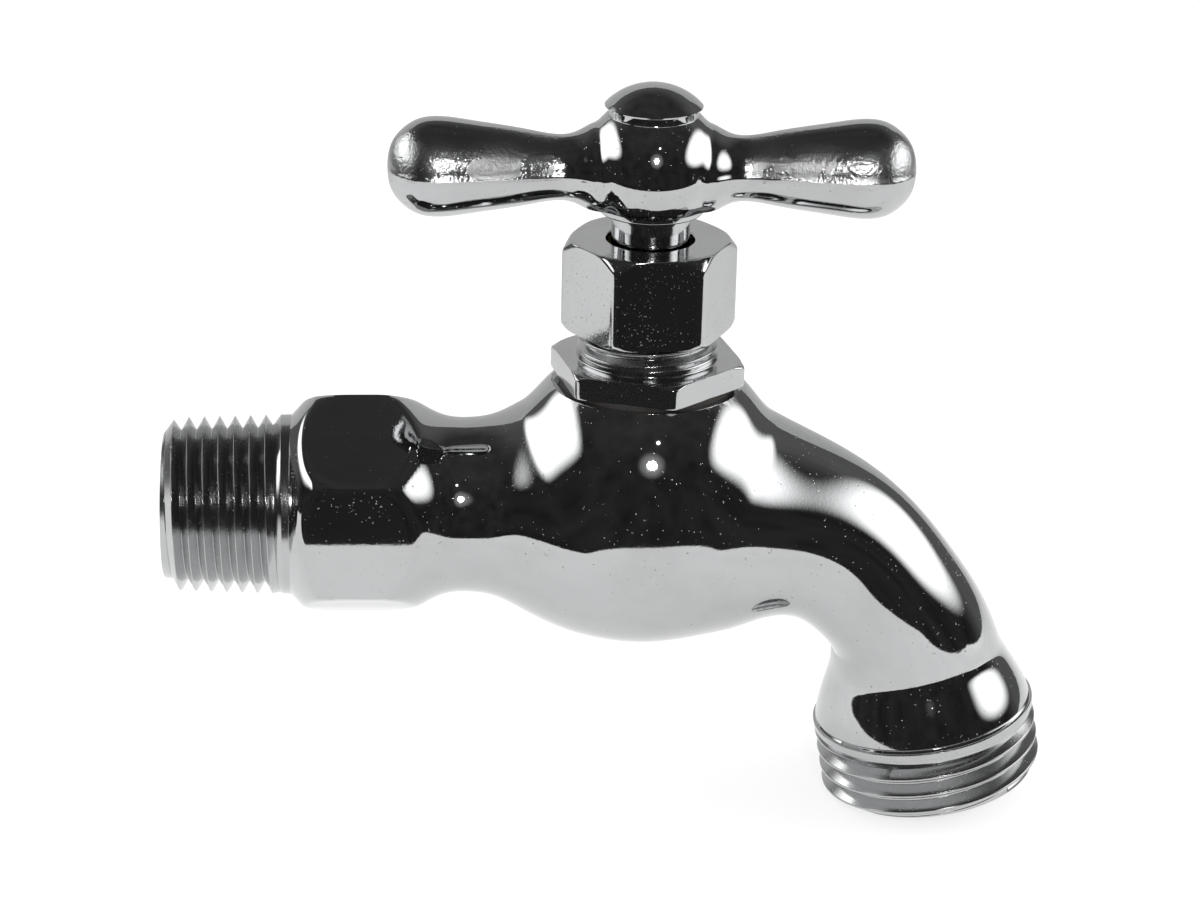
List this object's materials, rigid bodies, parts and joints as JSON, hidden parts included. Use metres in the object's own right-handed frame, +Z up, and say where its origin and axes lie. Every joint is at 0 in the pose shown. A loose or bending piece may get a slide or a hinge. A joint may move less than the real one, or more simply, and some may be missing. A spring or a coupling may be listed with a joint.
{
  "type": "hose bibb",
  "caption": "Chrome loose key hose bibb: male pipe inlet, hexagonal barrel, round globe, drooping spout with male hose thread, tall packing nut and a lift-off tee key.",
  "frame": {"origin": "on the pipe axis at the large end of the tapered pipe thread, where the plain collar begins", "axes": "+X along the pipe axis from the inlet towards the spout, +Z up along the stem, +Y away from the viewer of the pictured side"},
  "size_m": [0.1064, 0.033, 0.0895],
  "materials": {
    "body_chrome": "polished",
    "bonnet_chrome": "polished",
    "nut_chrome": "polished",
    "stem_chrome": "polished",
    "key_chrome": "polished",
    "bare_brass": "satin",
    "gasket_fibre": "matte",
    "packing_grey": "matte",
    "washer_rubber": "matte"
  },
  "bodies": {
    "body": {"valve_body": "body_chrome", "bonnet": "bonnet_chrome", "bonnet_gasket": "gasket_fibre", "packing_nut": "nut_chrome", "packing_gland": "bare_brass", "stem_packing": "packing_grey", "packing_washer": "bare_brass"},
    "disc": {"seat_washer": "washer_rubber"},
    "spindle": {"stem": "stem_chrome", "seat_washer_screw": "bare_brass"},
    "key": {"tee_key": "key_chrome"}
  },
  "joints": [
    {"name": "stem_lift", "type": "slide", "parent": "body", "child": "disc", "axis": [0, 0, 1], "range_m": [0, 0.00556]},
    {"name": "stem_turn", "type": "hinge", "parent": "disc", "child": "spindle", "pos_m": [0.0426, 0, 0], "axis": [0, 0, 1], "range_deg": [0, 630]},
    {"name": "key_lift_off", "type": "slide", "parent": "spindle", "child": "key", "axis": [0, 0, 1], "range_m": [0, 0.04]}
  ],
  "couplings": [
    {"joint": "stem_lift", "follows": "stem_turn", "m_per_rad": 0.00050532}
  ]
}
